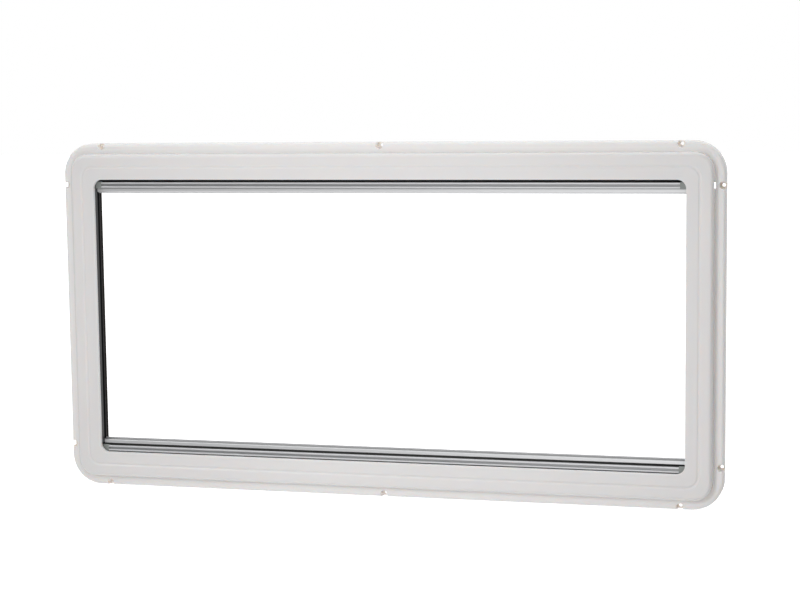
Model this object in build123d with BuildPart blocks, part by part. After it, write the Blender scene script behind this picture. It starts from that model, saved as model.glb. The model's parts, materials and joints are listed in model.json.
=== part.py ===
"""Inside frame of a caravan window, with a flyscreen roller above the opening and a blind roller below."""

import os
from math import asin, atan2, cos, degrees, hypot, sin, sqrt

from build123d import *

# Millimetres. X runs along the window, Z is up and the room lies towards -Y. Heights are measured from the
# wall plane, Y = 0, towards the room. Reaches are measured outwards from the edge of the opening.

# Frame outline
opening_width = 846
opening_height = 396
opening_corner = 12
border = 51.5
frame_depth = 30
outer_corner = 44

# Frame section
wall = 2.8
face_wall = 3.4
opening_return = 5.5
opening_round = 2.4
body_corner = 24
body_round = 5
body_draft = 0.8
flank_width = 5.8
foot_height = 16.4
lip_width = 8.8
lip_height = 17
lip_round = 5
skirt_flare = 0.5

# Shallow groove round the face
groove_reach = 17.8
groove_corner = 16
groove_width = 4.4
groove_depth = 0.7

# Screw notches in the lip
screw_hole = 4.6
notch_radius = 5.2
notch_inset = 4.2
notch_seat = 3
boss_wall = 2
corner_screw_inset = 59.5

# Slots at the foot of the raised part, beside the upper side screws
relief_length = 8.5
relief_floor = 1.3
relief_height = 23
relief_round = 1.2

# Side guides and brush strips
guide_width = 13
guide_back = 0.5
guide_end_gap = 6
slot_back = 9.5
slot_front = 16.5
slot_depth = 10
brush_groove_width = 6.4
brush_groove_depth = 2.6
brush_pile = 1
brush_pile_width = 4.8
brush_end_gap = 8

# Cassette rails and their end caps
rail_front = 22
rail_back = 17.5
rail_height = 8.1
rib_width = 2.6
rib_height = 3
rib_round = 0.8
screen_rail_gap = 4
blind_rail_gap = 0.3
cap_length = 9
cap_overhang = 1
cap_round = 1
cap_step = 0.7

# Pull bars and their gliders
bar_front = 16.75
bar_back = 9.25
bar_height = 6.6
bar_round = 0.8
bar_nose_round = 2.4
bar_lip_width = 1.3
bar_lip_height = 1.2
bar_end_gap = 0.5
screen_bar_gap = 12.1
blind_bar_gap = 10.95
keder_radius = 1.9
keder_slit = 1.8
glider_height = 5.6
glider_floor_gap = 1
glider_peg = 8

# Rollers, their cloth and their brackets
roller_inset = 19.5
roller_height = 9.5
tube_radius = 5
tube_wall = 1
cloth_build = 2.75
cloth_edge_gap = 2
tail_thickness = 0.6
tail_grip = 0.25
plug_flange = 1.5
plug_rim = 1
plug_spigot = 8
pin_radius = 2
pin_end = 1
bracket_gap = 4.6
bracket_wall = 3
bracket_reach = 8
bracket_foot = 6
bracket_round = 3

# Clearances
running_gap = 0.3
push_gap = 0.1

# Places that several pieces share
half_width = opening_width / 2
half_height = opening_height / 2
lip_reach = border - skirt_flare
ridge_reach = lip_reach - lip_width
foot_reach = ridge_reach - flank_width
body_reach = foot_reach - body_draft
foot_corner = body_corner + body_draft
face_back = frame_depth - face_wall
return_back = frame_depth - opening_return
relief_width = foot_reach + relief_floor - body_reach + wall
relief_x = half_width + foot_reach + relief_floor - relief_width / 2
hollow_front = foot_height - wall
screw_x = half_width + border - corner_screw_inset
screw_z = half_height + border - corner_screw_inset
screw_edge_x = half_width + border - notch_inset
screw_edge_z = half_height + border - notch_inset
slot_middle = (slot_front + slot_back) / 2
slot_width = slot_front - slot_back
brush_height = (guide_back + slot_back) / 2
bar_middle = (bar_front + bar_back) / 2
bar_end = half_width - bar_end_gap
roller_reach = body_reach - roller_inset
roller_z = half_height + roller_reach
wound_radius = tube_radius + push_gap + cloth_build
cloth_half = half_width + slot_depth - cloth_edge_gap
bracket_x = half_width + guide_width + bracket_gap
tube_end = bracket_x - running_gap - plug_flange


def outline(reach, corner, mode=Mode.ADD):
    """Rounded outline that lies the given reach outside the edge of the opening."""
    RectangleRounded(opening_width + 2 * reach, opening_height + 2 * reach, corner, mode=mode)


def room_face(part):
    """Flat face nearest to the room."""
    return part.faces().filter_by(Axis.Y).sort_by(Axis.Y)[0]


def save(part, name):
    """Label one finished piece and write it."""
    part.label = name
    export_step(part, f"parts/{name}.step")


def rail_middle(end, gap):
    """Middle of a cassette rail, where end is 1 at the top and -1 at the bottom."""
    return end * (half_height - gap - rail_height / 2)


def cassette_rail(end, gap):
    """Extrusion with two ribs along the edge of the opening."""
    rail_half = half_width - cap_length
    web_front = rail_front - rib_height
    rib_offset = (rail_height - rib_width) / 2
    middle = rail_middle(end, gap)
    with BuildPart() as rail:
        with BuildSketch(Plane.YZ.offset(-rail_half)) as section:
            with Locations((-(web_front + rail_back) / 2, middle)):
                Rectangle(web_front - rail_back, rail_height)
            with Locations((-web_front, middle - rib_offset), (-web_front, middle + rib_offset)):
                Rectangle(rib_height, rib_width, align=(Align.MAX, Align.CENTER))
            fillet(section.vertices().group_by(Axis.X)[0], rib_round)
        extrude(amount=2 * rail_half)
    return rail.part


def rail_cap(end, gap, side):
    """Plastic cap between the end of a cassette rail and the side guide."""
    place = (side * (half_width - cap_length / 2), rail_middle(end, gap))
    with BuildPart() as cap:
        with BuildSketch(Plane.XZ.offset(rail_back)):
            with Locations(place):
                Rectangle(cap_length, rail_height + 2 * cap_overhang)
        extrude(amount=rail_front - cap_step - rail_back)
        fillet(room_face(cap).outer_wire().edges().filter_by(Axis.X), cap_round)
    return cap.part


def bar_place(end, gap):
    """Middle of a pull bar."""
    return end * (half_height - gap - bar_height / 2)


def pull_bar(end, gap):
    """Extrusion at the free end of the cloth, with a round channel and a slit that holds the hem."""
    middle = bar_place(end, gap)
    with BuildPart() as bar:
        with BuildSketch(Plane.YZ.offset(-bar_end)) as section:
            with Locations((-bar_middle, middle)):
                Rectangle(bar_front - bar_back, bar_height)
            nose = section.vertices().sort_by(Axis.X)[:2].sort_by(Axis.Y)[0 if end > 0 else 1]
            fillet(section.vertices() - [nose], bar_round)
            fillet(section.vertices().sort_by_distance(nose)[0], bar_nose_round)
            with Locations((-bar_back, middle - end * bar_height / 2)):
                Rectangle(bar_lip_width, 2 * bar_lip_height, align=(Align.MAX, Align.CENTER))
            with Locations((-bar_middle, middle)):
                Circle(keder_radius, mode=Mode.SUBTRACT)
            with Locations((-bar_middle, middle + end * bar_height / 2)):
                Rectangle(keder_slit, bar_height, mode=Mode.SUBTRACT)
        extrude(amount=2 * bar_end)
    return bar.part


def bar_glider(end, gap, side):
    """Plastic end of a pull bar: a peg in the bar's channel and a block that runs in the guide's slot."""
    middle = bar_place(end, gap)
    with BuildPart() as glider:
        with BuildSketch(Plane.YZ.offset(side * bar_end)):
            with Locations((-slot_middle, middle)):
                Rectangle(slot_width - 2 * running_gap, glider_height)
        extrude(amount=side * (bar_end_gap + slot_depth - glider_floor_gap))
        with BuildSketch(Plane.YZ.offset(side * bar_end)):
            with Locations((-bar_middle, middle)):
                Circle(keder_radius - push_gap)
        extrude(amount=-side * glider_peg)
    return glider.part


def wound_cloth(end, bar_gap):
    """Cloth wound on its tube, with a tail that leaves the roll on the room side for the pull bar."""
    rise = roller_reach + bar_gap + tail_grip
    lean_in = roller_height - bar_middle
    distance = hypot(rise, lean_in)
    turn_radius = wound_radius - tail_thickness / 2
    tail = sqrt(distance**2 - turn_radius**2)
    lean = atan2(lean_in, rise) + asin(turn_radius / distance)
    tail_height = bar_middle + sin(lean) * tail / 2
    tail_z = half_height - bar_gap - tail_grip + cos(lean) * tail / 2
    with BuildPart() as cloth:
        with BuildSketch(Plane.YZ.offset(-cloth_half)):
            with Locations((-roller_height, end * roller_z)):
                Circle(wound_radius)
            with Locations((-tail_height, end * tail_z)):
                Rectangle(tail_thickness, tail, rotation=end * degrees(lean))
            with Locations((-roller_height, end * roller_z)):
                Circle(tube_radius + push_gap, mode=Mode.SUBTRACT)
        extrude(amount=2 * cloth_half)
    return cloth.part


def roller_tube(end):
    """Thin tube that the cloth is wound on."""
    with BuildPart() as tube:
        with BuildSketch(Plane.YZ.offset(-tube_end)):
            with Locations((-roller_height, end * roller_z)):
                Circle(tube_radius)
                Circle(tube_radius - tube_wall, mode=Mode.SUBTRACT)
        extrude(amount=2 * tube_end)
    return tube.part


def roller_plug(end, side):
    """Plug in the end of a roller tube, with a flange and a pin that turns in the bracket."""
    axis = Plane.YZ.offset(side * tube_end)
    lengths = {
        tube_radius - tube_wall - push_gap: -plug_spigot,
        tube_radius + plug_rim: plug_flange,
        pin_radius: plug_flange + running_gap + bracket_wall + pin_end,
    }
    with BuildPart() as plug:
        for radius, length in lengths.items():
            with BuildSketch(axis):
                with Locations((-roller_height, end * roller_z)):
                    Circle(radius)
            extrude(amount=side * length)
    return plug.part


def roller_bracket(end, side):
    """Angle bracket under the face of the frame that carries one end of a roller."""
    plate_back = roller_height - bracket_reach
    foot_length = bracket_wall + bracket_foot
    with BuildPart() as bracket:
        with BuildSketch(Plane.YZ.offset(side * bracket_x)) as plate:
            with Locations((-(plate_back + face_back) / 2, end * roller_z)):
                Rectangle(face_back - plate_back, 2 * bracket_reach)
            fillet(plate.vertices().group_by(Axis.X)[-1], bracket_round)
            with Locations((-roller_height, end * roller_z)):
                Circle(pin_radius + running_gap, mode=Mode.SUBTRACT)
        extrude(amount=side * bracket_wall)
        with BuildSketch(Plane.XZ.offset(face_back)):
            with Locations((side * (bracket_x + foot_length / 2), end * roller_z)):
                Rectangle(foot_length, 2 * bracket_reach)
        extrude(amount=-bracket_wall)
    return bracket.part


def guide_rail(side):
    """Side guide behind the opening's edge, with a slot for the gliders and a groove for the brush."""
    guide_half = half_height + guide_end_gap
    edge = side * half_width
    outwards = (Align.MIN if side > 0 else Align.MAX, Align.CENTER)
    with BuildPart() as guide:
        with BuildSketch(Plane.XY.offset(-guide_half)):
            with Locations((edge, -(guide_back + return_back) / 2)):
                Rectangle(guide_width, return_back - guide_back, align=outwards)
            with Locations((edge, -slot_middle)):
                Rectangle(slot_depth, slot_width, align=outwards, mode=Mode.SUBTRACT)
            with Locations((edge, -brush_height)):
                Rectangle(brush_groove_depth, brush_groove_width, align=outwards, mode=Mode.SUBTRACT)
        extrude(amount=2 * guide_half)
    return guide.part


def brush_strip(side):
    """Brush strip: a backing pushed into the guide's groove and a pile that stands out of it."""
    brush_half = half_height - brush_end_gap
    edge = side * half_width
    inwards = (Align.MAX if side > 0 else Align.MIN, Align.CENTER)
    backing_depth = brush_groove_depth - push_gap
    with BuildPart() as brush:
        with BuildSketch(Plane.XY.offset(-brush_half)):
            with Locations((edge + side * backing_depth, -brush_height)):
                Rectangle(backing_depth, brush_groove_width - 2 * push_gap, align=inwards)
            with Locations((edge, -brush_height)):
                Rectangle(brush_pile, brush_pile_width, align=inwards)
        extrude(amount=2 * brush_half)
    return brush.part


os.makedirs("parts", exist_ok=True)

side_screws = [(side * screw_edge_x, z) for side in (1, -1) for z in (-screw_z, screw_z)]
screw_places = side_screws + [(x, end * screw_edge_z) for end in (1, -1) for x in (-screw_x, 0, screw_x)]
relief_places = [(side * relief_x, screw_z) for side in (1, -1)]

# Moulded frame: skirt and lip, raised body, groove, then the hollow back and the screw notches
with BuildPart() as frame_moulding:
    with BuildSketch(Plane.XZ):
        outline(border, outer_corner)
    with BuildSketch(Plane.XZ.offset(lip_height)):
        outline(lip_reach, outer_corner - skirt_flare)
    loft()
    fillet(room_face(frame_moulding).outer_wire().edges(), lip_round)
    with BuildSketch(Plane.XZ.offset(foot_height)):
        outline(foot_reach, foot_corner)
    with BuildSketch(Plane.XZ.offset(lip_height)):
        outline(ridge_reach, foot_corner + flank_width)
    loft(ruled=True, mode=Mode.SUBTRACT)
    with BuildSketch(Plane.XZ.offset(foot_height)):
        outline(foot_reach, foot_corner)
    with BuildSketch(Plane.XZ.offset(frame_depth)):
        outline(body_reach, body_corner)
    loft(ruled=True)
    fillet(room_face(frame_moulding).outer_wire().edges(), body_round)
    # A round cutter that dips into the face makes the groove
    groove_x = half_width + groove_reach
    groove_z = half_height + groove_reach
    cutter_radius = (groove_width**2 / 4 + groove_depth**2) / (2 * groove_depth)
    corners = [(-groove_x, -groove_z), (groove_x, -groove_z), (groove_x, groove_z), (-groove_x, groove_z)]
    with BuildLine(Plane.XZ.offset(frame_depth + cutter_radius - groove_depth)) as groove_path:
        FilletPolyline(*corners, radius=groove_corner, close=True)
    with BuildSketch(Plane(groove_path.line @ 0, z_dir=groove_path.line % 0)):
        Circle(cutter_radius)
    sweep(path=groove_path.line, mode=Mode.SUBTRACT)
    with BuildSketch(Plane.XZ):
        outline(0, opening_corner)
    extrude(amount=frame_depth, mode=Mode.SUBTRACT)
    with BuildSketch(Plane.XZ):
        outline(border - wall, outer_corner - wall)
        with Locations(*screw_places):
            Circle(notch_radius + boss_wall, mode=Mode.SUBTRACT)
    extrude(amount=hollow_front, mode=Mode.SUBTRACT)
    with BuildSketch(Plane.XZ.offset(hollow_front)):
        outline(body_reach - wall, body_corner - wall)
    extrude(amount=return_back - hollow_front, mode=Mode.SUBTRACT)
    with BuildSketch(Plane.XZ.offset(return_back)):
        outline(body_reach - wall, body_corner - wall)
        outline(wall, opening_corner + wall, mode=Mode.SUBTRACT)
    extrude(amount=face_back - return_back, mode=Mode.SUBTRACT)
    fillet(room_face(frame_moulding).inner_wires()[0].edges(), opening_round)
    with BuildSketch(Plane.XZ.offset(hollow_front)):
        with Locations(*relief_places):
            RectangleRounded(relief_width, relief_length, relief_round)
    extrude(amount=relief_height - hollow_front, mode=Mode.SUBTRACT)
    with BuildSketch(Plane.XZ.offset(notch_seat)):
        with Locations(*screw_places):
            Circle(notch_radius)
    extrude(amount=frame_depth, mode=Mode.SUBTRACT)
    with BuildSketch(Plane.XZ):
        with Locations(*screw_places):
            Circle(screw_hole / 2)
    extrude(amount=frame_depth, mode=Mode.SUBTRACT)
save(frame_moulding.part, "frame_moulding")

sides = {"left": -1, "right": 1}
cassettes = {
    "screen": (1, screen_rail_gap, screen_bar_gap),
    "blind": (-1, blind_rail_gap, blind_bar_gap),
}

for side_name, side in sides.items():
    save(guide_rail(side), f"guide_rail_{side_name}")
    save(brush_strip(side), f"brush_strip_{side_name}")

for cassette, (end, rail_gap, bar_gap) in cassettes.items():
    save(cassette_rail(end, rail_gap), f"{cassette}_cassette_rail")
    save(pull_bar(end, bar_gap), f"{cassette}_pull_bar")
    save(roller_tube(end), f"{cassette}_roller_tube")
    save(wound_cloth(end, bar_gap), f"{cassette}_cloth")
    for side_name, side in sides.items():
        save(rail_cap(end, rail_gap, side), f"{cassette}_rail_cap_{side_name}")
        save(bar_glider(end, bar_gap, side), f"{cassette}_bar_glider_{side_name}")
        save(roller_plug(end, side), f"{cassette}_roller_plug_{side_name}")
        save(roller_bracket(end, side), f"{cassette}_roller_bracket_{side_name}")
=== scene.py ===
# %% [markdown]
# # A caravan window's inside frame
# The real object is a light grey moulded ring that is screwed over a hole in a caravan's wall. Two
# silver rails and two silver bars lie along the top and bottom of its opening, and a black guide with
# a brush stands at each side. Behind the ring hide two rollers, one with a flyscreen and one with a
# blind. The hard shapes come from the CAD model, so this lesson adds the finishes, the rolled cloth,
# the brush hairs and a few small screws. Sizes are in metres.

import json
from functools import reduce
from math import atan2, cos, hypot, pi, radians, sin, sqrt
from random import Random

import bpy
from mathutils import Matrix, Vector


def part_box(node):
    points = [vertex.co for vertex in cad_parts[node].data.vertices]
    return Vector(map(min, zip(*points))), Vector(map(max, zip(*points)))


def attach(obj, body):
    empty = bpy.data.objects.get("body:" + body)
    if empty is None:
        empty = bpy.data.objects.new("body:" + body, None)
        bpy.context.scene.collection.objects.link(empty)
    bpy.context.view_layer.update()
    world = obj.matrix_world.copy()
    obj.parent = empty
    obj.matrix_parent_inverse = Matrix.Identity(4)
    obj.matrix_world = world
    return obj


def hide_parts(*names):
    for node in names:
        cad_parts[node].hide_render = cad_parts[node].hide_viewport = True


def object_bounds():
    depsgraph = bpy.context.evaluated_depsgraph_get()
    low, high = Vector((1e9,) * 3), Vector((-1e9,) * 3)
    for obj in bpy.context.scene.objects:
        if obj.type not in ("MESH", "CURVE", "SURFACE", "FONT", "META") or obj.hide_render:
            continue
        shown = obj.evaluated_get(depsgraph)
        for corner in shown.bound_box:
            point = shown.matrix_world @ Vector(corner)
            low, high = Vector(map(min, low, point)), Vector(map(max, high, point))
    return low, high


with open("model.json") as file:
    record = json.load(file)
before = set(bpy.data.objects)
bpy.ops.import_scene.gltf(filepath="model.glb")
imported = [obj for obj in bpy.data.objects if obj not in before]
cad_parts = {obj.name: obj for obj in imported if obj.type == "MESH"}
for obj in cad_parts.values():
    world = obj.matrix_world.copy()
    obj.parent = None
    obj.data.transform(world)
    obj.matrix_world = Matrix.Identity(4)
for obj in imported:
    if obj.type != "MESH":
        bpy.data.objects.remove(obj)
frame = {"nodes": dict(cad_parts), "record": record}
nodes = frame["nodes"]
cad_box = [list(corner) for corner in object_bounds()]
scene = bpy.context.scene
print("CAD nodes:", len(nodes), "box in metres:", cad_box)

# %% [markdown]
# ## Camera
# The camera stands to the right of the window and a little above it. A long lens from about two and a
# half metres keeps the ring nearly square, and only the far left side looks smaller. The three turns
# are applied in the order azimuth, tilt, roll, as on a tripod head.

# %% Camera
CAMERA_PLACE = Vector((0.686, -2.508, 0.312))
CAMERA_AZIMUTH = radians(14.817)
CAMERA_TILT = radians(6.236)
CAMERA_ROLL = radians(-0.67)
CAMERA_FOCAL_PIXELS = 1865
IMAGE_WIDTH = 800
SENSOR_WIDTH = 36.0

camera_data = bpy.data.cameras.new("camera")
camera_data.sensor_width = SENSOR_WIDTH
camera_data.lens = SENSOR_WIDTH * CAMERA_FOCAL_PIXELS / IMAGE_WIDTH
camera = bpy.data.objects.new("camera", camera_data)
scene.collection.objects.link(camera)
turn = Matrix.Rotation(CAMERA_AZIMUTH, 4, "Z") @ Matrix.Rotation(pi / 2 - CAMERA_TILT, 4, "X")
camera.matrix_world = Matrix.Translation(CAMERA_PLACE) @ turn @ Matrix.Rotation(CAMERA_ROLL, 4, "Z")
scene.camera = camera
print("lens in millimetres:", round(camera_data.lens, 1))

# %% [markdown]
# ## Floor
# The window stands on a plain white table. For catalogue pictures such a table is often lit from
# within, so that it stays pure white and shows no shadow. Emission on the floor does the same. Only the
# camera sees this floor: the light that comes up from the table is one of the walls of the tent below,
# where its strength can be set by itself.

# %% Floor
FLOOR_SIZE = 30.0
FLOOR_DROP = 0.0005

floor_z = cad_box[0][2] - FLOOR_DROP
bpy.ops.mesh.primitive_plane_add(size=FLOOR_SIZE, location=(0, 0, floor_z))
floor = bpy.context.object
floor.name = "floor"
floor.visible_diffuse = False
floor.visible_glossy = False
floor.visible_transmission = False
floor.visible_shadow = False
print("floor at", round(floor_z, 4))

# %% [markdown]
# ## Three kinds of node
# The light round the window and the finishes on it are both node trees, and a few steps come back in
# all of them: arithmetic on a direction or a place, many values merged into one, and a value that fades
# from one level to another. Each gets a short function here, so that the later cells read as plain
# sentences instead of long lists of nodes and links.

# %% Node helpers
def vector_math(tree, operation, source, other=(0.0, 0.0, 0.0)):
    """Vector Math node that works on a socket and a fixed vector."""
    node = tree.nodes.new("ShaderNodeVectorMath")
    node.operation = operation
    node.inputs[1].default_value = other
    tree.links.new(source, node.inputs[0])
    return node


def merge(tree, operation, sockets):
    """One value from several: Math nodes take the first two, then that result and the next, and so on."""
    def pair(first, second):
        node = tree.nodes.new("ShaderNodeMath")
        node.operation = operation
        tree.links.new(first, node.inputs[0])
        tree.links.new(second, node.inputs[1])
        return node.outputs["Value"]

    return reduce(pair, sockets)


def fade(tree, source, start, end, low=0.0, high=1.0, curve="LINEAR"):
    """Value that goes from low to high while the source goes from start to end, and is flat beyond."""
    node = tree.nodes.new("ShaderNodeMapRange")
    node.interpolation_type = curve
    levels = {"From Min": start, "From Max": end, "To Min": low, "To Max": high}
    for socket, level in levels.items():
        node.inputs[socket].default_value = level
    tree.links.new(source, node.inputs["Value"])
    return node.outputs["Result"]


print("node helpers:", "vector_math, merge, fade")

# %% [markdown]
# ## Surround
# A white tent surrounds the table. Its walls throw soft light of different strength: most from above
# and from the table, less from behind, and very little from the left and right, so that rounded edges
# run from light to dark. How far a direction faces a wall is the dot product of the two, and the wall's
# light fades in with it. The light from a direction is the sum over the walls. The camera sees the tent
# as plain white, while the light on the window is set apart, so that the plastic keeps its light grey.

# %% Surround
WHITE = (1.0, 1.0, 1.0, 1.0)
# Each wall has the way that leads to it and the strength of its light
TENT_WALLS = {
    "left": ((-1, 0, 0), 0.09),
    "right": ((1, 0, 0), 0.05),
    "top": ((0, 0, 1), 0.96),
    "back": ((0, 1, 0), 0.60),
    "table": ((0, 0, -1), 0.88),
}
WALL_FADE = 0.9
TENT_WHITE = 1.0

world = bpy.data.worlds.new("tent")
world.use_nodes = True
scene.world = world
tree = world.node_tree
background = tree.nodes["Background"]
background.inputs["Color"].default_value = WHITE
direction = tree.nodes.new("ShaderNodeTexCoord").outputs["Generated"]
wall_lights = []
for way, light in TENT_WALLS.values():
    facing = vector_math(tree, "DOT_PRODUCT", direction, way).outputs["Value"]
    wall_lights.append(fade(tree, facing, 0.0, WALL_FADE, high=light, curve="SMOOTHSTEP"))
light_path = tree.nodes.new("ShaderNodeLightPath")
tent = tree.nodes.new("ShaderNodeMix")
tent.inputs["B"].default_value = TENT_WHITE
tree.links.new(light_path.outputs["Is Camera Ray"], tent.inputs["Factor"])
tree.links.new(merge(tree, "ADD", wall_lights), tent.inputs["A"])
tree.links.new(tent.outputs["Result"], background.inputs["Strength"])
scene.view_settings.view_transform = "Standard"
print("tent walls:", ", ".join(TENT_WALLS))

# %% [markdown]
# ## Lamp
# One broad lamp stands far off at the left, in front of the window and a little above it. Its slanting
# light leaves the soft shadow that lies along the right side of the raised part. A sun lamp suits it,
# because the rays of a far lamp are nearly parallel, and its angle makes the edge of the shadow soft.

# %% Lamp
LAMP_FROM = Vector((-0.44, -0.83, 0.36))
LAMP_POWER = 0.42
LAMP_SPREAD = radians(14)

lamp_data = bpy.data.lights.new("lamp", "SUN")
lamp_data.energy = LAMP_POWER
lamp_data.angle = LAMP_SPREAD
lamp = bpy.data.objects.new("lamp", lamp_data)
lamp.rotation_euler = LAMP_FROM.to_track_quat("Z", "Y").to_euler()
scene.collection.objects.link(lamp)
print("lamp from", [round(v, 2) for v in LAMP_FROM.normalized()])

# %% [markdown]
# ## Softbox and sheen panel
# A softbox hangs close in front of the opening. Light from a near lamp falls off quickly, so the middle
# of the top and bottom is lit more than the far left and right. Mirrored in the silver rails it would
# be a bright spot, so glossy rays don't see it. What the rails mirror instead is a large panel further
# off, low and to the right, which is why they grow lighter that way. The panel shows only in gloss and
# adds nothing to the matt light on the plastic.

# %% Softbox and sheen panel
SOFTBOX_PLACE = Vector((-0.03, -0.70, 0.03))
SOFTBOX_SIZE = 0.6
SOFTBOX_POWER = 1.95
SHEEN_PLACE = Vector((0.45, -2.0, -0.25))
SHEEN_SIZE = 1.3
SHEEN_POWER = 8.2


def panel_light(name, place, size, power):
    """Square lamp that faces the window and that the camera doesn't see."""
    data = bpy.data.lights.new(name, "AREA")
    data.size = size
    data.energy = power
    panel = bpy.data.objects.new(name, data)
    panel.location = place
    panel.rotation_euler = (pi / 2, 0, 0)
    panel.visible_camera = False
    scene.collection.objects.link(panel)
    print(name, "at", [round(v, 2) for v in place])
    return panel


softbox = panel_light("softbox", SOFTBOX_PLACE, SOFTBOX_SIZE, SOFTBOX_POWER)
softbox.visible_glossy = False
sheen = panel_light("sheen", SHEEN_PLACE, SHEEN_SIZE, SHEEN_POWER)
sheen.visible_diffuse = False

# %% [markdown]
# ## Parts of a finish
# Each finish is a small node tree on Blender's Principled shader. Its texture is noise in object space,
# which can be drawn out along an axis. The noise has a value at each point, mostly near the middle of
# its range, so colours are spread over that middle part. Painted pictures would work too, but noise
# needs no files and fits any size.

# %% Parts of a finish
NOISE_LOW = 0.3
NOISE_HIGH = 0.7
NOISE_DETAIL = 3.0


def new_finish(name, roughness, metallic=0.0):
    """Material with a Principled shader; returns the material, its node tree and the shader."""
    material = bpy.data.materials.new(name)
    material.use_nodes = True
    shader = material.node_tree.nodes["Principled BSDF"]
    shader.inputs["Roughness"].default_value = roughness
    shader.inputs["Metallic"].default_value = metallic
    return material, material.node_tree, shader


def noise_at(tree, stretch):
    """Noise in object space; stretch is the number of patches per metre along each axis."""
    place = tree.nodes.new("ShaderNodeTexCoord")
    mapping = tree.nodes.new("ShaderNodeMapping")
    mapping.inputs["Scale"].default_value = stretch
    noise = tree.nodes.new("ShaderNodeTexNoise")
    noise.inputs["Scale"].default_value = 1.0
    noise.inputs["Detail"].default_value = NOISE_DETAIL
    tree.links.new(place.outputs["Object"], mapping.inputs["Vector"])
    tree.links.new(mapping.outputs["Vector"], noise.inputs["Vector"])
    return noise.outputs["Fac"]


def colour_between(tree, source, low, high, low_at=NOISE_LOW, high_at=NOISE_HIGH):
    """Colour that runs from low to high as the source value grows from low_at to high_at."""
    node = tree.nodes.new("ShaderNodeValToRGB")
    for stop, colour, at in zip(node.color_ramp.elements, (low, high), (low_at, high_at)):
        stop.position = at
        stop.color = (*colour, 1.0)
    tree.links.new(source, node.inputs["Fac"])
    return node.outputs["Color"]


def add_bump(tree, shader, source, strength, height):
    """Bump from a value between 0 and 1; height is what 1 stands for, in metres."""
    bump = tree.nodes.new("ShaderNodeBump")
    bump.inputs["Strength"].default_value = strength
    bump.inputs["Distance"].default_value = height
    tree.links.new(source, bump.inputs["Height"])
    tree.links.new(bump.outputs["Normal"], shader.inputs["Normal"])


print("parts of a finish:", "noise, colour, bump")

# %% [markdown]
# ## A plain finish
# Most pieces share one recipe. A noise with large patches makes the colour drift a little from place to
# place, and a fine one changes the gloss and adds the grain that a hand would feel. A finish then needs
# only two colours, two gloss values and the sizes of its patches and its grain.

# %% Plain finish
GRAIN_HEIGHT = 0.0001
finishes = {}


def even(count):
    """The same number of patches along each axis."""
    return (count, count, count)


def plain_finish(name, low, high, gloss, grain, strength, metallic=0.0, patches=even(9)):
    """Colour between low and high, roughness between the two gloss values, and a bump of fine grain."""
    material, tree, shader = new_finish(name, gloss[0], metallic)
    drift = noise_at(tree, patches)
    fine = noise_at(tree, grain)
    tree.links.new(colour_between(tree, drift, low, high), shader.inputs["Base Color"])
    tree.links.new(fade(tree, fine, NOISE_LOW, NOISE_HIGH, *gloss), shader.inputs["Roughness"])
    add_bump(tree, shader, fine, strength, GRAIN_HEIGHT)
    finishes[name] = material
    return shader


print("grain height in metres:", GRAIN_HEIGHT)

# %% [markdown]
# ## Moulded plastic
# The ring is injection-moulded in a light grey plastic. Such plastic lets some light in, and the light
# that comes out again is warmer than what went in, so thin edges and hollows look faintly tan instead
# of dark. The shader's subsurface part does this. The skin has a satin gloss with a grain too fine to
# see from afar.

# %% Moulded plastic
PLASTIC_LOW = (0.851, 0.837, 0.835)
PLASTIC_HIGH = (0.871, 0.857, 0.855)
PLASTIC_GLOSS = (0.20, 0.26)
PLASTIC_SHINE = 0.28
PLASTIC_GLOW = 0.75
PLASTIC_GLOW_DEPTH = 0.0025
PLASTIC_GLOW_TINT = (1.0, 0.86, 0.76)

plastic = plain_finish(
    "moulding", low=PLASTIC_LOW, high=PLASTIC_HIGH, gloss=PLASTIC_GLOSS,
    grain=even(900), strength=0.06, patches=even(5)
)
plastic.inputs["Specular IOR Level"].default_value = PLASTIC_SHINE
plastic.inputs["Subsurface Weight"].default_value = PLASTIC_GLOW
plastic.inputs["Subsurface Scale"].default_value = PLASTIC_GLOW_DEPTH
plastic.inputs["Subsurface Radius"].default_value = PLASTIC_GLOW_TINT
print("light goes", PLASTIC_GLOW_DEPTH, "m into the plastic")

# %% [markdown]
# ## Screw seats, with painted light
# In the picture the screw notches are paler and warmer than a dent in thick plastic would be, as where a
# thin wall lets some light through. That light is painted: their colour is mixed towards a paler, warmer
# tone. The seats stand in pairs left and right and above and below the middle. Without the signs of its
# X and Z, every point lies in one quarter of the ring, where the distance to the nearest seat finds
# them all.

# %% Screw seats
SEAT_PAINTED_LIGHT = (0.907, 0.850, 0.822)
SEAT_FULL = 0.0053
SEAT_CLEAR = 0.0058
MILLIMETRE = 0.001
WALL_PLANE = (1.0, 0.0, 1.0)

# The second spacing of a screw pattern runs up the wall, along Z
patterns = [mount["dims"] for mount in frame["record"]["mounts"] if mount["kind"] == "bolt_pattern"]
seats = [[size.get(f"spacing_{way}_mm", 0.0) / 2 * MILLIMETRE for way in "xy"] for size in patterns]
tree = finishes["moulding"].node_tree
place = tree.nodes.new("ShaderNodeTexCoord").outputs["Object"]
quarter = vector_math(tree, "ABSOLUTE", place).outputs["Vector"]
in_plane = vector_math(tree, "MULTIPLY", quarter, WALL_PLANE).outputs["Vector"]
away = [vector_math(tree, "DISTANCE", in_plane, (x, 0.0, z)).outputs["Value"] for x, z in seats]
in_seat = fade(tree, merge(tree, "MINIMUM", away), SEAT_CLEAR, SEAT_FULL)
# Painted light: the seats' colour is mixed towards a paler, warmer tone.
paler = tree.nodes.new("ShaderNodeMix")
paler.data_type = "RGBA"
paler.inputs["B"].default_value = (*SEAT_PAINTED_LIGHT, 1.0)
colour = plastic.inputs["Base Color"]
tree.links.new(in_seat, paler.inputs["Factor"])
tree.links.new(colour.links[0].from_socket, paler.inputs["A"])
tree.links.new(paler.outputs["Result"], colour)
print("screw seats in a quarter:", seats)
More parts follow.
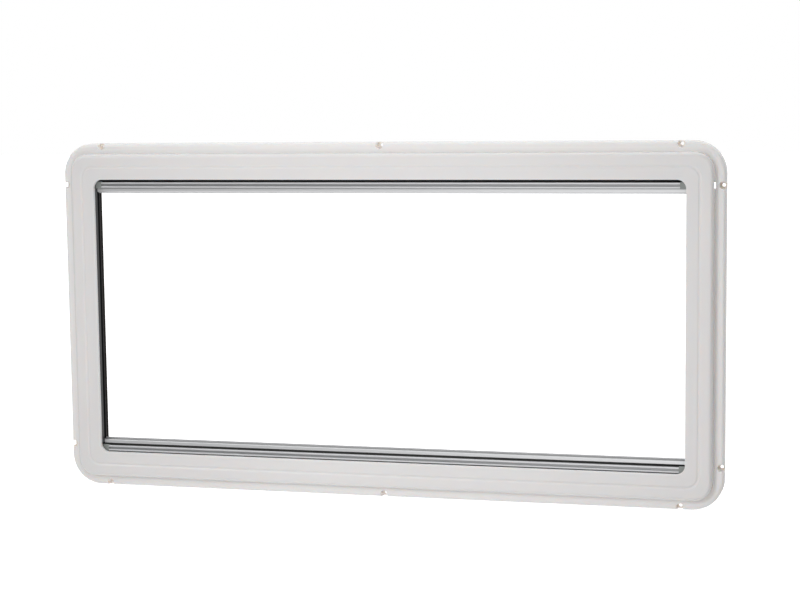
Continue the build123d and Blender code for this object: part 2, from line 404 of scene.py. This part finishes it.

# %% [markdown]
# ## Painted light on the lip
# In the picture the outer lip is a little paler than the raised part of the ring, as a thin edge is when
# light comes through from behind. That light is painted: the lip's colour is made lighter. Its front
# lies well behind the face, and the depth of a point, its Y, tells where it begins. The helper
# multiplies a colour by a tone that fades in along one axis, and the metals below use it for painted
# shade.

# %% Painted light on the lip
PLACE = ("ShaderNodeTexCoord", "Object")
FACING = ("ShaderNodeNewGeometry", "Normal")
LIP_CLEAR = 0.0105
LIP_FULL = 0.0128
LIP_PAINTED_LIGHT = 1.08


def tone_along(finish, source, axis, clear, full, tone):
    """Multiplies a finish's colour by tone where the source's axis reaches full; it fades in from clear."""
    tree = finishes[finish].node_tree
    colour = tree.nodes["Principled BSDF"].inputs["Base Color"]
    kind, output = source
    axes = tree.nodes.new("ShaderNodeSeparateXYZ")
    tree.links.new(tree.nodes.new(kind).outputs[output], axes.inputs["Vector"])
    toned = vector_math(tree, "SCALE", colour.links[0].from_socket)
    tree.links.new(fade(tree, axes.outputs[axis], clear, full, 1.0, tone), toned.inputs["Scale"])
    tree.links.new(toned.outputs["Vector"], colour)


ring_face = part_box("frame_moulding")[0].y
# Painted light: the lip's colour is made lighter.
tone_along("moulding", PLACE, "Y", ring_face + LIP_CLEAR, ring_face + LIP_FULL, LIP_PAINTED_LIGHT)
print("lip tone:", LIP_PAINTED_LIGHT)

# %% [markdown]
# ## Metals
# The rails, the pull bars and the roller tubes are extruded aluminium. Extruding leaves faint lines
# along the length, so their noise is drawn out along X: few patches that way, many across. The rails
# and bars are anodised to a soft silver, and the tubes keep their shinier mill finish. Zinc-plated
# steel serves for the small screws.

# %% Metals
DRAWN_LINES = (0.5, 2500, 2500)
DRAWN_BANDS = (0.5, 900, 900)
TUBE_BANDS = (3, 400, 400)
ANODISED = {
    "gloss": (0.34, 0.40), "grain": DRAWN_LINES, "strength": 0.06, "metallic": 0.4, "patches": DRAWN_BANDS
}

plain_finish("rail", low=(0.69, 0.695, 0.71), high=(0.72, 0.725, 0.74), **ANODISED)
plain_finish("bar", low=(0.745, 0.75, 0.76), high=(0.775, 0.78, 0.79), **ANODISED)
plain_finish(
    "tube", low=(0.60, 0.61, 0.62), high=(0.70, 0.71, 0.72), gloss=(0.22, 0.36),
    grain=DRAWN_LINES, strength=0.35, metallic=1.0, patches=TUBE_BANDS
)
plain_finish(
    "zinc", low=(0.58, 0.59, 0.60), high=(0.70, 0.71, 0.70), gloss=(0.25, 0.40),
    grain=even(2500), strength=0.2, metallic=1.0, patches=even(600)
)
print("finishes so far:", ", ".join(finishes))

# %% [markdown]
# ## Painted shade on the metal
# In the picture dark lines run along the metal: in the groove between a rail's two ribs, on the faces
# of the pull bars that point up, and on a thin strip of the upper bar close under its rail. These lines
# are painted shade: the colour is made darker towards the groove's floor, on faces that point up, and
# on the strip that lies in the rail's shadow. Depth tells the groove, a normal that points up tells an
# upward face, and height tells the strip.

# %% Painted shade on the metal
GROOVE_CLEAR = 0.0014
GROOVE_DEEP = 0.0028
GROOVE_PAINTED_SHADE = 0.55
UPWARD_SHADE_CLEAR = 0.2
UPWARD_SHADE_FULL = 0.7
UPWARD_PAINTED_SHADE = 0.32
STRIP_CLEAR = 0.0020
STRIP_FULL = 0.0004
STRIP_PAINTED_SHADOW = 0.6

rib_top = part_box("screen_cassette_rail")[0].y
bar_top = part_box("screen_pull_bar")[1].z
# Painted shade: the rail's colour darkens towards the groove's floor.
tone_along("rail", PLACE, "Y", rib_top + GROOVE_CLEAR, rib_top + GROOVE_DEEP, GROOVE_PAINTED_SHADE)
# Painted shade: the bars' colour is darker on faces that point up.
tone_along("bar", FACING, "Z", UPWARD_SHADE_CLEAR, UPWARD_SHADE_FULL, UPWARD_PAINTED_SHADE)
# Painted shadow: the upper bar's colour is darker on the strip under its rail.
tone_along("bar", PLACE, "Z", bar_top - STRIP_CLEAR, bar_top - STRIP_FULL, STRIP_PAINTED_SHADOW)
print("tones:", "groove", GROOVE_PAINTED_SHADE, "upward_shade", UPWARD_PAINTED_SHADE, "strip", STRIP_PAINTED_SHADOW)

# %% [markdown]
# ## Small plastics
# The end caps are a grey plastic with a slight green cast, the side guides are black and extruded, so
# they show fine lines along Z, and the gliders are a smooth black plastic that slides well. The plugs
# and brackets of the rollers are pale moulded plastic. They differ only in colour, gloss and grain, so
# the plain finish serves for them all.

# %% Small plastics
GUIDE_LINES = (1400, 1400, 5)
GUIDE_BANDS = (300, 300, 4)

plain_finish(
    "cap", low=(0.285, 0.305, 0.29), high=(0.325, 0.345, 0.33), gloss=(0.42, 0.55),
    grain=even(1500), strength=0.2
)
plain_finish(
    "guide", low=(0.010, 0.010, 0.011), high=(0.020, 0.020, 0.022), gloss=(0.28, 0.40),
    grain=GUIDE_LINES, strength=0.2, patches=GUIDE_BANDS
)
plain_finish(
    "glider", low=(0.016, 0.016, 0.017), high=(0.026, 0.026, 0.028), gloss=(0.34, 0.46),
    grain=even(1200), strength=0.1
)
plain_finish(
    "plug", low=(0.62, 0.61, 0.58), high=(0.68, 0.67, 0.64), gloss=(0.36, 0.48),
    grain=even(1200), strength=0.1
)
plain_finish(
    "bracket", low=(0.42, 0.42, 0.41), high=(0.47, 0.47, 0.46), gloss=(0.40, 0.52),
    grain=even(1300), strength=0.2
)
print("finishes so far:", ", ".join(finishes))

# %% [markdown]
# ## Floor finish
# The floor is a smooth matt white sheet. Its emission is the light from inside the table.

# %% Floor finish
TABLE_GLOW = 0.65

table_top = plain_finish(
    "floor", low=(0.88, 0.88, 0.88), high=(0.90, 0.90, 0.90), gloss=(0.75, 0.85),
    grain=even(40), strength=0.0, patches=even(1)
)
table_top.inputs["Emission Color"].default_value = WHITE
table_top.inputs["Emission Strength"].default_value = TABLE_GLOW
floor.data.materials.append(finishes["floor"])
print("floor glow:", TABLE_GLOW)

# %% [markdown]
# ## Cloth finishes
# A flyscreen is a net of thin dark threads, and a blind is a close weave with a coat that stops the
# light. Both are drawn with two wave textures, one along the cloth and one across it: the higher of the
# two at a point is the thread on top. The waves read a map that is laid out in metres on the flat
# cloth, so the threads keep their size however the cloth is wound. A wave texture of scale 1 has
# twenty bands in a length of two pi, and the scale follows from that and the pitch of the threads.

# %% Cloth finishes
CLOTH_MAP = "flat_cloth"
WAVE_PERIOD = 2 * pi / 20
HOLLOW_AT = 0.45
THREAD_AT = 0.85
WEAVE_STRENGTH = 0.5


def woven(name, thread, hollow, pitch, roughness, relief):
    """Weave of threads the given pitch apart in metres."""
    material, tree, shader = new_finish(name, roughness)
    flat_place = tree.nodes.new("ShaderNodeUVMap")
    flat_place.uv_map = CLOTH_MAP
    waves = []
    for way in ("X", "Y"):
        wave = tree.nodes.new("ShaderNodeTexWave")
        wave.bands_direction = way
        wave.inputs["Scale"].default_value = WAVE_PERIOD / pitch
        tree.links.new(flat_place.outputs["UV"], wave.inputs["Vector"])
        waves.append(wave.outputs["Fac"])
    on_top = merge(tree, "MAXIMUM", waves)
    colour = colour_between(tree, on_top, hollow, thread, HOLLOW_AT, THREAD_AT)
    tree.links.new(colour, shader.inputs["Base Color"])
    add_bump(tree, shader, on_top, WEAVE_STRENGTH, relief)
    finishes[name] = material


woven(
    "screen_cloth", thread=(0.060, 0.060, 0.063), hollow=(0.012, 0.012, 0.013), pitch=0.0013,
    roughness=0.7, relief=0.0002
)
woven(
    "blind_cloth", thread=(0.055, 0.054, 0.052), hollow=(0.032, 0.031, 0.030), pitch=0.0006,
    roughness=0.75, relief=0.0001
)
print("finishes so far:", ", ".join(finishes))

# %% [markdown]
# ## Brush finish
# The brush hairs are a dull brownish black. A noise with patches under a millimetre wide makes hairs
# that stand close together differ a little, as hairs from one bundle do.

# %% Brush finish
plain_finish(
    "brush", low=(0.008, 0.006, 0.005), high=(0.034, 0.026, 0.021), gloss=(0.6, 0.85),
    grain=even(2000), strength=0.1, patches=even(1500)
)
print("finishes in all:", len(finishes))

# %% [markdown]
# ## Dressing the solids
# The CAD record names a slot for each solid, such as moulding or guide, and the finishes have the same
# names. Only the pull bars differ: they share the rails' slot but are a shade lighter than the rails.

# %% Dressing the solids
slot_of = {row["node"]: row["material_slot"] for row in frame["record"]["subparts"]}
for name, node in nodes.items():
    finish = "bar" if name.endswith("pull_bar") else slot_of[name]
    node.data.materials.clear()
    node.data.materials.append(finishes[finish])
print("dressed nodes:", len(nodes))

# %% [markdown]
# ## Rolled cloth
# Each roller holds about 0.4 m of cloth, wound on its tube, and the free end runs over the room side of
# the roll to the slit in the pull bar. A solid drum would look right from the front, but from the ends
# and the back a roll shows its turns. So the cloth is drawn as what it is: one flat strip that follows
# a spiral and then a straight tail.

# %% Path of a rolled cloth
CLOTH_THICKNESS = 0.00022
TURN_PITCH = 0.00025
STEPS_PER_TURN = 36
TAIL_STEPS = 6
HEM_IN_BAR = 0.003


def cloth_path(name, end):
    """Points (y, z) from the tube to the pull bar and half the cloth's width; end is 1 above, -1 below."""
    tube_low, tube_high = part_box(f"{name}_roller_tube")
    roll_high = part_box(f"{name}_cloth")[1]
    bar_low, bar_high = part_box(f"{name}_pull_bar")
    middle_y = (tube_low.y + tube_high.y) / 2
    middle_z = end * (tube_low.z + tube_high.z) / 2
    inner = (tube_high.y - tube_low.y) / 2 + CLOTH_THICKNESS
    outer = roll_high.y - middle_y - CLOTH_THICKNESS
    slit_y = (bar_low.y + bar_high.y) / 2
    slit_z = max(end * bar_low.z, end * bar_high.z) - HEM_IN_BAR
    away_y, away_z = slit_y - middle_y, slit_z - middle_z
    tail = sqrt(away_y**2 + away_z**2 - outer**2)
    leaves_at = atan2(away_z, away_y) - atan2(tail, outer)
    turns = (outer - inner) / TURN_PITCH
    steps = int(turns * STEPS_PER_TURN)
    points = []
    for step in range(steps + 1):
        share = step / steps
        angle = leaves_at - 2 * pi * turns * (1 - share)
        radius = inner + (outer - inner) * share
        points.append((middle_y + radius * cos(angle), middle_z + radius * sin(angle)))
    start_y, start_z = points[-1]
    for step in range(1, TAIL_STEPS + 1):
        share = step / TAIL_STEPS
        points.append((start_y + (slit_y - start_y) * share, start_z + (slit_z - start_z) * share))
    return [(y, end * z) for y, z in points], roll_high.x


print("turns of cloth", TURN_PITCH, "m apart")

# %% [markdown]
# ## Cloth sheets
# The strip has one row of points for each step of the path, and each row spans the cloth's width. The
# length along the path goes into the map that the weave reads, and it is also the length that the cloth
# was cut to. A Solidify modifier gives the strip its thickness, a little over a fifth of a millimetre.

# %% Cloth sheets
CLOTH_COLUMNS = 9
ROLLER_ENDS = {"screen": 1, "blind": -1}


def cloth_mesh(name, path, across, lengths):
    """Strip along the path, with its flat map in metres."""
    points = [(x, y, z) for y, z in path for x in across]
    corners = []
    for row in range(len(path) - 1):
        for column in range(CLOTH_COLUMNS - 1):
            first = row * CLOTH_COLUMNS + column
            corners.append((first, first + 1, first + CLOTH_COLUMNS + 1, first + CLOTH_COLUMNS))
    mesh = bpy.data.meshes.new(f"{name}_cloth_sheet")
    mesh.from_pydata(points, [], corners)
    flat_map = mesh.uv_layers.new(name=CLOTH_MAP)
    for loop in mesh.loops:
        row, column = divmod(loop.vertex_index, CLOTH_COLUMNS)
        flat_map.data[loop.index].uv = (across[column], lengths[row])
    mesh.shade_smooth()
    mesh.materials.append(finishes[f"{name}_cloth"])
    return mesh


def cloth_sheet(name, end):
    """Sheet that stands for the wound cloth of one roller."""
    path, half_width = cloth_path(name, end)
    lengths = [0.0]
    for (y0, z0), (y1, z1) in zip(path, path[1:]):
        lengths.append(lengths[-1] + hypot(y1 - y0, z1 - z0))
    across = [half_width * (2 * column / (CLOTH_COLUMNS - 1) - 1) for column in range(CLOTH_COLUMNS)]
    sheet = bpy.data.objects.new(f"{name}_cloth_sheet", cloth_mesh(name, path, across, lengths))
    scene.collection.objects.link(sheet)
    solidify = sheet.modifiers.new("thickness", "SOLIDIFY")
    solidify.thickness = CLOTH_THICKNESS
    solidify.offset = 0.0
    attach(sheet, "root")
    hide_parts(f"{name}_cloth")


for name, end in ROLLER_ENDS.items():
    cloth_sheet(name, end)

# %% [markdown]
# ## Brushes
# A brush strip is a woven backing with thousands of short hairs. Blender's hair system could grow them,
# but an exported model keeps only meshes, so each hair is a thin three-sided spike, and every spike
# leans its own small way. The backing is a plain block in the groove of the guide.

# %% Brush hairs
HAIRS_PER_STRIP = 8000
HAIR_SIDES = 3
HAIR_RADIUS = 0.00011
HAIR_LEAN = 0.00035
HAIR_SHORT = 0.00085
HAIR_LONG = 0.00135
PILE_SIDE = 0.0007
BACKING_ROOT = 0.0002
BLOCK_FACES = [(0, 1, 3, 2), (4, 6, 7, 5), (0, 4, 5, 1), (2, 3, 7, 6), (0, 2, 6, 4), (1, 5, 7, 3)]
DICE_SEED = 7
SIDES = {"left": -1, "right": 1}
dice = Random(DICE_SEED)


def brush_mesh(name, side):
    """Backing and hairs of one strip; side is 1 at the right and -1 at the left of the opening."""
    low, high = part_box(name)
    guide_low, guide_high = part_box(name.replace("brush_strip", "guide_rail"))
    edge = guide_low.x if side > 0 else guide_high.x
    back = high.x if side > 0 else low.x
    root_x = edge + side * BACKING_ROOT
    points = [(x, y, z) for x in (edge, back) for y in (low.y, high.y) for z in (low.z, high.z)]
    faces = list(BLOCK_FACES)
    for _ in range(HAIRS_PER_STRIP):
        y = dice.uniform(low.y + PILE_SIDE, high.y - PILE_SIDE)
        z = dice.uniform(low.z, high.z)
        turn_by = dice.uniform(0, 2 * pi)
        first = len(points)
        for corner in range(HAIR_SIDES):
            angle = turn_by + corner * 2 * pi / HAIR_SIDES
            points.append((root_x, y + HAIR_RADIUS * cos(angle), z + HAIR_RADIUS * sin(angle)))
        tip_x = edge - side * dice.uniform(HAIR_SHORT, HAIR_LONG)
        points.append((tip_x, y + dice.gauss(0, HAIR_LEAN), z + dice.gauss(0, HAIR_LEAN)))
        for corner in range(HAIR_SIDES):
            faces.append((first + corner, first + (corner + 1) % HAIR_SIDES, first + HAIR_SIDES))
    mesh = bpy.data.meshes.new(name.replace("strip", "hairs"))
    mesh.from_pydata(points, [], faces)
    mesh.materials.append(finishes["brush"])
    return mesh


for side_name, side in SIDES.items():
    strip = f"brush_strip_{side_name}"
    hairs = bpy.data.objects.new(f"brush_hairs_{side_name}", brush_mesh(strip, side))
    scene.collection.objects.link(hairs)
    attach(hairs, "root")
    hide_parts(strip)
    print(hairs.name, len(hairs.data.polygons), "faces")

# %% [markdown]
# ## Screw head
# Small pan-head screws hold the roller brackets. A head is drawn as rings of points, like a lathe's
# work: each ring has a radius and a height, and inside the cross the points sink by the depth of the
# recess. Only the heads show, so the threads are left out.

# %% Screw head
SCREW_HEAD_RADIUS = 0.0024
SCREW_HEAD_HEIGHT = 0.0016
SCREW_RINGS = 10
SCREW_SPOKES = 40
DOME_POWER = 4
CROSS_REACH = 0.00135
CROSS_HALF_WIDTH = 0.00032
CROSS_DEPTH = 0.0009


def screw_head_mesh():
    """Domed head with a cross recess; it stands on the plane z = 0 and points up."""
    points = [(0.0, 0.0, SCREW_HEAD_HEIGHT - CROSS_DEPTH)]
    for ring in range(1, SCREW_RINGS + 1):
        share = ring / SCREW_RINGS
        radius = SCREW_HEAD_RADIUS * share
        dome = SCREW_HEAD_HEIGHT * sqrt(1 - share**DOME_POWER)
        for spoke in range(SCREW_SPOKES):
            angle = 2 * pi * spoke / SCREW_SPOKES
            x, y = radius * cos(angle), radius * sin(angle)
            in_cross = radius < CROSS_REACH and min(abs(x), abs(y)) < CROSS_HALF_WIDTH
            points.append((x, y, dome - CROSS_DEPTH if in_cross else dome))
    faces = [(0, 1 + spoke, 1 + (spoke + 1) % SCREW_SPOKES) for spoke in range(SCREW_SPOKES)]
    for ring in range(SCREW_RINGS - 1):
        inner = 1 + ring * SCREW_SPOKES
        outer = inner + SCREW_SPOKES
        for spoke in range(SCREW_SPOKES):
            after = (spoke + 1) % SCREW_SPOKES
            faces.append((inner + spoke, outer + spoke, outer + after, inner + after))
    mesh = bpy.data.meshes.new("bracket_screw")
    mesh.from_pydata(points, [], faces)
    mesh.materials.append(finishes["zinc"])
    return mesh


screw_mesh = screw_head_mesh()
print("screw head:", len(screw_mesh.polygons), "faces")

# %% [markdown]
# ## Bracket screws
# Two screws hold the foot of each roller bracket to the back of the ring, one above and one below its
# middle. All of them share the mesh of one head, and each is turned by chance, as a hand leaves them.

# %% Bracket screws
SCREW_OFFSET = 0.0046
FOOT_LENGTH = 0.006
FOOT_THICKNESS = 0.003

screw_total = 0
for name in ROLLER_ENDS:
    for side_name, side in SIDES.items():
        low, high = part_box(f"{name}_roller_bracket_{side_name}")
        foot_x = high.x - FOOT_LENGTH / 2 if side > 0 else low.x + FOOT_LENGTH / 2
        foot_y = low.y + FOOT_THICKNESS
        for up in (-1, 1):
            screw_total += 1
            screw = bpy.data.objects.new(f"bracket_screw_{screw_total}", screw_mesh)
            screw.location = (foot_x, foot_y, (low.z + high.z) / 2 + up * SCREW_OFFSET)
            screw.rotation_euler = (-pi / 2, dice.uniform(0, pi), 0)
            scene.collection.objects.link(screw)
            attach(screw, "root")
print("bracket screws:", screw_total)
